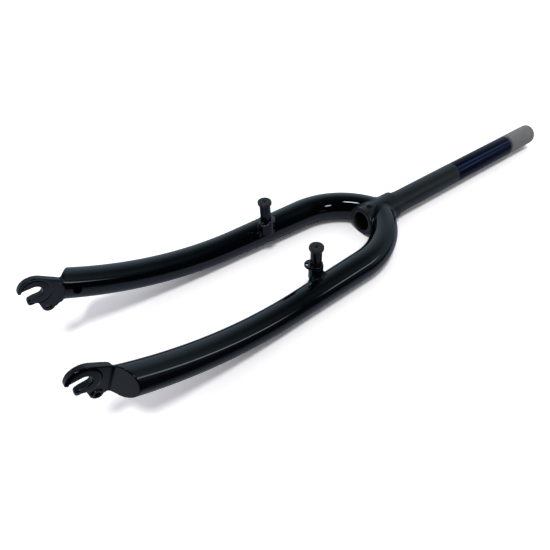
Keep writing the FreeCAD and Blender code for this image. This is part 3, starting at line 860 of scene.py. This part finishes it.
    def end_plug(self, length: float = 6.0, proud: float = 0.12, sunk: float = 0.25, point: float = 0.01) -> Net:
        """A closed stub of the tube at its end, a hair proud of the skin inwards and sunk elsewhere.

        It is proud where cos a is below a third, fully so from minus a third, and sinks again up the leg.

        Args:
            length: how far the stub reaches up the leg, in millimetres.
            proud: how far it stands over the skin on the inner side, in millimetres.
            sunk: how far it is sunk elsewhere, in millimetres.
            point: radius to which it closes at both ends, in millimetres.

        Returns:
            The stub's net.
        """
        a = turns(self.cols)
        _, finish = self.ends(a, 0.0)
        inner = smooth_step(0.5 - 1.5 * np.cos(a))
        up = np.array([1.0, 1.0, 0.75, 0.5, 0.25, 0.0, 0.0])[:, None]
        inset = sunk - (sunk + proud) * inner * smooth_step(1.6 - 1.6 * up)
        inset[[0, -1]] = self.end - point
        s = finish - length * up
        s[0], s[-1] = s[1].min(), finish.min()
        return Net.from_grid(self.surface(s, a, inset))

    def build_crown_weld(self, material: Material) -> None:
        """The smoothed weld where the leg meets the crown, lightly rippled along its crease.

        Args:
            material: the paint.
        """
        a = turns(self.weld_cols)
        start, _ = self.ends(a, 0.0, sink=0.0)
        meet, out = self.surface(start, a), self.surface(start, a, lift=True)
        round_out = unit(meet * np.array([1.0, 0.0, 1.0]))
        along = unit(np.roll(meet, -1, axis=0) - np.roll(meet, 1, axis=0))
        away = np.cross(along, round_out)
        away *= np.sign((away * out).sum(axis=1, keepdims=True))
        on_leg = self.surface(start + self.weld_reach, a) + self.weld_proud * out
        on_crown = meet + self.weld_reach * away
        on_crown[:, [0, 2]] *= (self.crown + self.weld_proud) / np.hypot(on_crown[:, :1], on_crown[:, 2:])
        on_crown[:, 1] = np.maximum(on_crown[:, 1], self.crown_foot + self.weld_edge)
        run = np.cumsum(np.linalg.norm(np.roll(meet, -1, axis=0) - meet, axis=1))
        beads = np.cos(TURN * np.round(run[-1] / self.bead) * run / run[-1])[:, None]
        low = np.clip(-out[:, 1:2], 0.0, 1.0)
        fill, lower, ripple = self.weld_fill
        crease = meet + unit(out + round_out) * (fill + lower * low + ripple * low * beads)
        net = Net.weld(on_leg, crease, on_crown, meet - self.weld_sunk * unit(out + round_out))
        place_piece(mesh_of(self.side.named("crown_weld"), [net], BEAD_SHARP), material, Slot.PAINT)

    def skin_height(self, x: Array, y: Array, foot: float) -> tuple[Array, Array, Array]:
        """The straight run's skin under points seen along Z.

        In the run's own frame, turned by the splay, the skin stands at z = sqrt(r^2 - across^2) above the middle line.

        Args:
            x: distance of the points from the steering axis, outwards.
            y: their Y.
            foot: least height that is given.

        Returns:
            The height, the distance across from the middle line, and the run's radius.
        """
        spin = math.radians(self.splay)
        dx, dy = x - self.bend_end[0], y - self.bend_end[1]
        across, run = dx * math.cos(spin) + dy * math.sin(spin), dx * math.sin(spin) - dy * math.cos(spin)
        r = self.top - (self.top - self.end) * np.clip(run, 0.0, self.straight) / self.straight
        return np.maximum(np.sqrt(np.maximum(r * r - across * across, 0.0)), foot), across, r


@dataclass
class BrakePost:
    """A brake boss with its spring plate and plastic cap. Axis along Z, millimetres."""

    side: Side  # left or right
    x: float = 41.85  # distance of the axis from the middle
    y: float = -147.2  # where the axis stands along the fork
    base: float = 7.3  # radius of the base
    foot: float = 8.5  # Z of the base's foot
    base_top: float = 23.7  # Z of the base's top
    spigot: float = 5.3  # radius of the seat in the spring plate
    ring_top: float = 26.2  # Z of the spring plate's top
    seat: float = 0.05  # how far the spigot stays under that
    post: float = 4.0  # radius of the pivot post
    post_top: float = 42.2  # Z of its top
    play: float = 0.1  # room between the post and the cap
    sleeve: float = 5.55  # radius of the cap's sleeve
    flare: float = 0.4  # widening of the sleeve under the disc
    disc: float = 7.15  # radius of the cap's disc
    disc_low: float = 44.8  # Z of the disc's underside
    cap_top: float = 47.4  # Z of the cap's top
    dimple: float = 1.35  # radius of the moulding mark in the cap's top
    dimple_deep: float = 2.4  # depth of that mark
    dimple_taper: float = 0.85  # its floor's radius as a share of its mouth's
    soft: float = 0.5  # rounding of the edges
    plate_grain: float = 0.22  # size of the quads on the spring plate
    plate_passes: int = 6  # rounding of its edges
    # how far past the leg's inner side the weld begins to lie on the skin, and over what width
    weld_edge: Span = (1.5, 3.5)
    weld_up: Span = (2.4, 2.4)  # height of the weld on the boss beside the leg, and how much more it has on the skin
    weld_out: Span = (-3.0, 6.0)  # reach of the weld from the boss beside the leg, and how much more it has on the skin
    weld_under: float = 2.2  # how far it goes down under the boss beside the leg
    # how far its crease stands off the boss and off the skin, and how strongly that ripples
    weld_fill: Triple = (0.9, 0.9, 0.5)
    weld_sunk: Span = (1.6, 0.8)  # how far its hidden line lies inside the boss and under the skin
    weld_proud: Span = (0.03, 0.02)  # how far its edges stand over the boss and the skin
    # height, number and start of the waves round the weld
    ripples: tuple[Triple, ...] = ((0.17, 9.0, 0.0), (0.12, 14.0, 1.0))
    cols: int = 72  # points round the axis
    weld_cols: int = 120  # points round the weld

    def turned(self, profile: Array) -> list[Net]:
        """Lathe: each profile point (r, z) goes round the post's axis."""
        across, along, up = lathe(profile, self.cols)
        return [Net.from_grid(np.stack([self.side.value * self.x + across, self.y + along, up], axis=-1))]

    def build(self, leg: Leg, paint: Material, bright: Material, plastic: Material) -> None:
        """Makes the boss, the cap and the spring plate and dresses them.

        Args:
            leg: the leg that carries the post.
            paint: the paint of the boss.
            bright: the paint of the spring plate.
            plastic: the cap's plastic.
        """
        named = self.side.named
        seat, inside, floor = self.ring_top - self.seat, self.post + self.play, self.cap_top - self.dimple_deep
        boss = soften([(0.0, self.foot), (self.base, self.foot), (self.base, self.base_top),
                       (self.spigot, self.base_top), (self.spigot, seat), (self.post, seat),
                       (self.post, self.post_top), (0.0, self.post_top)], self.soft)
        place_piece(mesh_of(named("boss_turned"), self.turned(boss)), paint, Slot.PAINT, (named("brake_boss"),))
        cap = soften([(inside, self.ring_top), (self.sleeve, self.ring_top),
                      (self.sleeve, self.disc_low - self.flare), (self.sleeve + self.flare, self.disc_low),
                      (self.disc, self.disc_low), (self.disc, self.cap_top), (self.dimple, self.cap_top),
                      (self.dimple_taper * self.dimple, floor), (0.0, floor)], self.soft)
        hollow = [(0.0, self.post_top + self.play), (inside, self.post_top + self.play)]
        mesh = mesh_of(named("cap_moulding"), self.turned(np.concatenate([hollow, cap])))
        place_piece(mesh, plastic, Slot.CAP, (named("post_cap"),))
        plate = named("spring_plate")
        pressed = even_skin(f"{plate}_pressed", [node_net(plate)], self.plate_grain)
        relax(pressed, 1.0, self.plate_passes)
        place_piece(pressed, bright, Slot.PAINT, (plate,))
        self.build_foot_weld(leg, paint)

    def around(self, a: Array, out: Array | float, z: Array) -> Array:
        """Points (x + (base + out) cos a, y + (base + out) sin a, z) round the boss's axis, on the left side."""
        r = self.base + out
        return np.stack([self.x + r * np.cos(a), self.y + r * np.sin(a), z], axis=1)

    def build_foot_weld(self, leg: Leg, paint: Material) -> None:
        """The weld round the boss's foot: up the boss on one side, out on the leg's skin on the other.

        Where the boss stands over the leg's inner side, the weld runs back under it to the skin: a point's distance
        from the leg's middle line is scaled until it is the leg's radius.

        Args:
            leg: the leg that carries the post.
            paint: the paint.
        """
        a = turns(self.weld_cols)
        x, y, _ = self.around(a, 0.0, 0 * a).T
        z, across, r = leg.skin_height(x, y, self.foot)
        on_skin = smooth_step((across + r + self.weld_edge[0]) / self.weld_edge[1])
        lumps = 1.0 + sum(high * np.cos(waves * a + start) for high, waves, start in self.ripples)
        up = (self.weld_up[0] + self.weld_up[1] * on_skin) * lumps
        second = self.around(a, self.weld_out[0] + self.weld_out[1] * on_skin * lumps, z)
        _, across, r = leg.skin_height(second[:, 0], second[:, 1], 0.0)
        level = np.where(on_skin > 0.5, np.sqrt(np.maximum(r ** 2 - across ** 2, 1.0)), z - self.weld_under)
        press = r / np.hypot(across, level)
        second[:, 0] += across * (press - 1.0)
        second[:, 2] = level * press + self.weld_proud[1]
        off, over, ripple = self.weld_fill
        rings = [self.around(a, self.weld_proud[0], z + up),
                 self.around(a, off + ripple * (lumps - 1.0), z + over), second,
                 self.around(a, -self.weld_sunk[0], z - self.weld_sunk[1])]
        net = Net.weld(*(ring * np.array([self.side.value, 1.0, 1.0]) for ring in rings))
        place_piece(mesh_of(self.side.named("boss_weld"), [net], BEAD_SHARP), paint, Slot.PAINT)


@dataclass
class Dropout:
    """A dropout: the slotted plate, its seats, hook, eyelet and folded tang, taken over from the solid.

    Its edges are rounded under thick paint, and on its inner side the weld to the leg is smoothed over. Millimetres.
    """

    side: Side  # left or right
    grain: float = 0.4  # size of the skin's quads
    edge_passes: int = 6  # rounding of all edges
    blend: float = 4.5  # half length of the smoothed weld
    blend_in: Span = (0.5, 3.0)  # how far inside the outer face the smoothing begins, and over what width
    blend_passes: int = 70  # smoothing of the weld
    tip_down: Span = (2.0, 4.0)  # how far below the axle the lower tine's tip begins, and over what width
    tip_behind: Span = (1.0, 3.0)  # the same behind the axle
    tip_passes: int = 42  # more rounding for that tip
    inner_face: float = 50.0  # X of the inner face
    flat: float = 0.12  # how near to that X a point counts as on the face
    ring: float = 11.3  # radius of the washer's mark on the inner face
    ring_width: float = 0.6  # half width of that mark
    ring_depth: float = 0.4  # depth of that mark

    def build(self, leg: Leg, paint: Material) -> None:
        """Makes the dropout's mesh and dresses it.

        Args:
            leg: the leg that carries the dropout.
            paint: the paint.
        """
        node = self.side.named("dropout")
        forged = even_skin(f"{node}_forged", [node_net(node), leg.end_plug()], self.grain)
        points = mesh_points(forged)
        relax(forged, 1.0, self.edge_passes)
        near = np.exp(-(leg.fold_gap(points) / self.blend) ** 2)
        inside = smooth_step((leg.plate_out - self.blend_in[0] - np.abs(points[:, 0])) / self.blend_in[1])
        relax(forged, near * inside, self.blend_passes)
        self.shape_plate(leg, forged)
        place_piece(forged, paint, Slot.PAINT, (node,))

    def shape_plate(self, leg: Leg, forged: Mesh) -> None:
        """Rounds the lower tine's tip and presses the ring of the washer's seat into the inner face.

        The ring is a groove of depth d exp(-((q - r)/w)^2), with q the distance from the axle.

        Args:
            leg: the leg that carries the dropout.
            forged: the dropout's skin.
        """
        up, ahead = leg.from_axle(mesh_points(forged))
        down = smooth_step((-self.tip_down[0] - up) / self.tip_down[1])
        behind = smooth_step((-self.tip_behind[0] - ahead) / self.tip_behind[1])
        relax(forged, down * behind, self.tip_passes)
        points = mesh_points(forged)
        face = np.abs(np.abs(points[:, 0]) - self.inner_face) < self.flat
        groove = self.ring_depth * np.exp(-((np.hypot(up, ahead) - self.ring) / self.ring_width) ** 2)
        points[:, 0] += self.side.value * np.where(face, groove, 0.0)
        set_points(forged, points)


@dataclass(frozen=True)
class PaleFloor:
    """A wide pale floor, white to the camera; in the gloss of the paint it shows painted shade, dim grey by the fork
    and near black farther out.
    """

    level: float = -15.9  # Z of the floor in millimetres
    half: float = 6000.0  # half its side in millimetres
    shown: Colour = (1.25, 1.25, 1.275, 1.0)  # colour that the camera sees
    dull: Colour = (0.8, 0.8, 0.8, 1.0)  # colour that lights dull surfaces
    # painted shade in the gloss: colours from the right side to the left, dim grey by the fork, then near black
    mirrored_shade: tuple[Colour, ...] = ((0.36, 0.42, 0.54, 1.0), (0.34, 0.40, 0.48, 1.0), (0.02, 0.02, 0.025, 1.0))
    # X, in metres, from and to which each of these gives way to the next
    steps: tuple[Span, ...] = ((0.025, 0.075), (0.080, 0.150))

    def make(self) -> Material:
        """The floor's node material."""
        material, bench, shader = new_material("pale_floor", "ShaderNodeBsdfDiffuse")
        shown, glossy = bench.rays()
        x = bench.split(bench.where())[0]
        # painted shade: the floor that gloss mirrors is dim near the fork and dark past X of 0.15 m
        painted_shade = self.mirrored_shade[0]
        for step, colour in zip(self.steps, self.mirrored_shade[1:]):
            painted_shade = bench.mix(bench.band(x, *step), painted_shade, colour)
        bench.feed(shader, {"Color": bench.mix(shown, bench.mix(glossy, self.dull, painted_shade), self.shown)})
        return material

    def build(self) -> None:
        """Lays the floor."""
        corners = np.array([(-1.0, -1.0), (1.0, -1.0), (1.0, 1.0), (-1.0, 1.0)]) * self.half
        mesh = bpy.data.meshes.new("floor")
        mesh.from_pydata([(x * MM, y * MM, self.level * MM) for x, y in corners.tolist()], [], [(0, 1, 2, 3)])
        mesh.materials.append(self.make())
        floor = bpy.data.objects.new("floor", mesh)
        bpy.context.scene.collection.objects.link(floor)


@dataclass(frozen=True)
class Room:
    """The room: even light on what is dull, white to the camera, and for gloss a tinted wall and neutral lamps.

    The even light is ambient (1 + lean cos), by the angle from the far side. The wall's brightness grows in smooth
    steps of cos(azimuth - wall_at) and falls towards the ceiling. A narrow strip lamp hangs level where wall and
    dark room meet, a small round lamp stands to the left and a lamp tube hangs overhead. Heights are Z of a
    direction of length one, angles are in degrees, and a lamp's edges are its outer and its inner one.
    """

    ambient: float = 0.62  # strength of the even light
    lean: float = 0.7  # how much stronger it is from the far side
    lean_from: Triple = (-0.866, 0.5, 0.0)  # direction of the far side
    even_tint: Colour = (0.985, 0.985, 1.03, 1.0)  # colour of the even light
    wall_at: float = 150.0  # azimuth of the wall's middle
    # start, end and brightness of each step
    wall_steps: tuple[Triple, ...] = ((-0.62, -0.10, 0.38), (0.45, 0.95, 0.28))
    wall_fall: Span = (0.45, 1.0)  # heights between which the wall falls off
    wall_top: float = 0.08  # share of it that is left at the ceiling
    wall_tint: Colour = (0.73, 0.97, 1.15, 1.0)  # colour of the wall
    glow: float = 0.008  # brightness of the dark room
    lamp_tint: Colour = (0.90, 0.97, 1.04, 1.0)  # colour of the lamps
    strip_at: float = 0.41  # height of the strip lamp
    strip_wide: Span = (0.050, 0.025)  # its edges in height
    strip_start: Span = (29.5, 33.0)  # its edges in azimuth at the near end
    strip_stop: Span = (60.0, 40.0)  # its edges in azimuth at the far end
    strip_power: float = 4.0  # its brightness
    spot_at: Triple = (0.741, -0.065, 0.668)  # direction of the round lamp
    spot_edge: Span = (0.9960, 0.9980)  # its edges as cosines
    spot_power: float = 13.0  # its brightness
    tube_at: Span = (0.942, -46.0)  # height and azimuth of the lamp tube
    tube_wide: Span = (0.014, 0.008)  # its edges in height
    tube_long: Span = (24.0, 14.0)  # its edges in azimuth
    tube_power: float = 38.0  # its brightness

    def wall(self, bench: Bench, azimuth: NodeSocket, z: NodeSocket) -> NodeSocket:
        """Brightness of the wall.

        Args:
            bench: the room's bench.
            azimuth: azimuth of the direction.
            z: height of the direction.

        Returns:
            The brightness.
        """
        far = bench.math("COSINE", bench.math("SUBTRACT", azimuth, math.radians(self.wall_at)))
        steps = [bench.band(far, low, high, (0.0, bright)) for low, high, bright in self.wall_steps]
        fall = bench.band(z, *self.wall_fall, (1.0, self.wall_top))
        return bench.math("ADD", bench.math("MULTIPLY", bench.math("ADD", *steps), fall), self.glow)

    def lamps(self, bench: Bench, way: NodeSocket, azimuth: NodeSocket, z: NodeSocket) -> NodeSocket:
        """Brightness of the three lamps together.

        Args:
            bench: the room's bench.
            way: the direction.
            azimuth: its azimuth.
            z: its height.

        Returns:
            The brightness.
        """
        length = bench.math("MULTIPLY", bench.band(azimuth, *radians(self.strip_start)),
                            bench.band(azimuth, *radians(self.strip_stop)))
        strip = bench.math("MULTIPLY", bench.beside(z, self.strip_at, self.strip_wide), length)
        spot = bench.band(bench.toward(way, self.spot_at), *self.spot_edge)
        tube = bench.math("MULTIPLY", bench.beside(z, self.tube_at[0], self.tube_wide),
                          bench.beside(azimuth, math.radians(self.tube_at[1]), radians(self.tube_long)))
        total = bench.math("MULTIPLY", strip, self.strip_power)
        total = bench.math("MULTIPLY_ADD", spot, self.spot_power, total)
        return bench.math("MULTIPLY_ADD", tube, self.tube_power, total)

    def build(self) -> None:
        """Makes the room the scene's world."""
        world = bpy.data.worlds.new("room")
        world.use_nodes = True
        world.cycles.sampling_method = "NONE"
        bench = Bench(world.node_tree)
        shown, glossy = bench.rays()
        way = bench.node("ShaderNodeTexCoord").outputs["Generated"]
        x, y, z = bench.split(way)
        azimuth = bench.math("ARCTAN2", y, x)
        lean = bench.toward(way, self.lean_from)
        even = bench.math("MULTIPLY_ADD", lean, self.ambient * self.lean, self.ambient)
        lights = ((self.wall_tint, self.wall(bench, azimuth, z)), (self.lamp_tint, self.lamps(bench, way, azimuth, z)),
                  (self.even_tint, even), ((1.0, 1.0, 1.0, 1.0), 1.0))
        wall, lamps, dull, white = [bench.node("ShaderNodeBackground", {"Color": tint, "Strength": power}).outputs[0]
                                    for tint, power in lights]
        gloss = bench.node("ShaderNodeAddShader", {0: wall, 1: lamps}).outputs[0]
        lit = bench.node("ShaderNodeMixShader", {0: glossy, 1: dull, 2: gloss}).outputs[0]
        seen = bench.node("ShaderNodeMixShader", {0: shown, 1: lit, 2: white}).outputs[0]
        bench.node("ShaderNodeOutputWorld", {"Surface": seen})
        bpy.context.scene.world = world


@dataclass
class Studio:
    """Camera, pale floor, overhead light and room."""

    eye: Triple = (279.77, -346.74, 332.49)  # camera place in millimetres
    right: Triple = (0.61839, 0.78575, 0.01385)  # camera's right
    up: Triple = (-0.60875, 0.46779, 0.64077)  # camera's up
    ahead: Triple = (-0.49701, 0.40468, -0.76760)  # where it looks
    lens: float = 29.93  # focal length for the frame's width
    frame_width: float = 36.0  # that width, in millimetres
    shift: Span = (-0.0642, 0.0591)  # camera shift that the photograph's framing needs
    clip: Span = (0.01, 50.0)  # nearest and farthest distance that it sees, in metres
    key: float = 1.40  # strength of the overhead light
    key_from: Triple = (0.21, -0.155, 1.0)  # direction that it comes from
    key_angle: float = 13.0  # its width in degrees
    key_tint: Triple = (1.0, 0.99, 0.955)  # its colour

    def build(self) -> None:
        """Makes the camera, the floor, the overhead light and the room."""
        self.add_camera()
        PaleFloor().build()
        self.add_key()
        Room().build()
        bpy.context.scene.view_settings.view_transform = "Standard"

    def stand(self, item: Object, axes: list[Array], place: Array) -> None:
        """Puts a camera or a lamp into the scene.

        Args:
            item: the camera or the lamp.
            axes: its right, up and back.
            place: where it stands, in millimetres.
        """
        matrix = np.eye(4)
        matrix[:3, :3], matrix[:3, 3] = np.column_stack(axes), place * MM
        item.matrix_world = Matrix(matrix.tolist())
        bpy.context.scene.collection.objects.link(item)

    def add_camera(self) -> None:
        """The photograph's camera."""
        data = bpy.data.cameras.new("camera")
        data.sensor_width, data.lens = self.frame_width, self.lens
        data.shift_x, data.shift_y = self.shift
        data.clip_start, data.clip_end = self.clip
        camera = bpy.data.objects.new("camera", data)
        self.stand(camera, [self.right, self.up, -np.array(self.ahead)], np.array(self.eye))
        bpy.context.scene.camera = camera

    def add_key(self) -> None:
        """The soft light from overhead, which gloss doesn't mirror."""
        data = bpy.data.lights.new("overhead", "SUN")
        data.energy, data.angle, data.color = self.key, math.radians(self.key_angle), self.key_tint
        lamp = bpy.data.objects.new("overhead", data)
        back = unit(np.array(self.key_from))
        side = unit(np.cross(np.array([0.0, 1.0, 0.0]), back))
        self.stand(lamp, [side, np.cross(back, side), back], np.zeros(3))
        lamp.visible_glossy = False


def main() -> None:
    """Builds the fork and the studio, piece by piece."""
    logging.basicConfig(level=logging.INFO, format="%(name)s: %(message)s")
    paint, plastic = GlossPaint().make(), CapPlastic().make()
    dull = GlossPaint("post_black_paint", smooth=(0.05, 0.14), peel=0.05, shine=0.30).make()
    bright = GlossPaint("plate_black_paint", shine=1.0).make()
    Steerer().build(SatinPaint().make(), DippedSteel().make())
    for side in Side:
        leg = Leg(side)
        leg.build(paint)
        Dropout(side).build(leg, paint)
        BrakePost(side).build(leg, dull, bright, plastic)
    Studio().build()


if __name__ == "__main__":
    main()
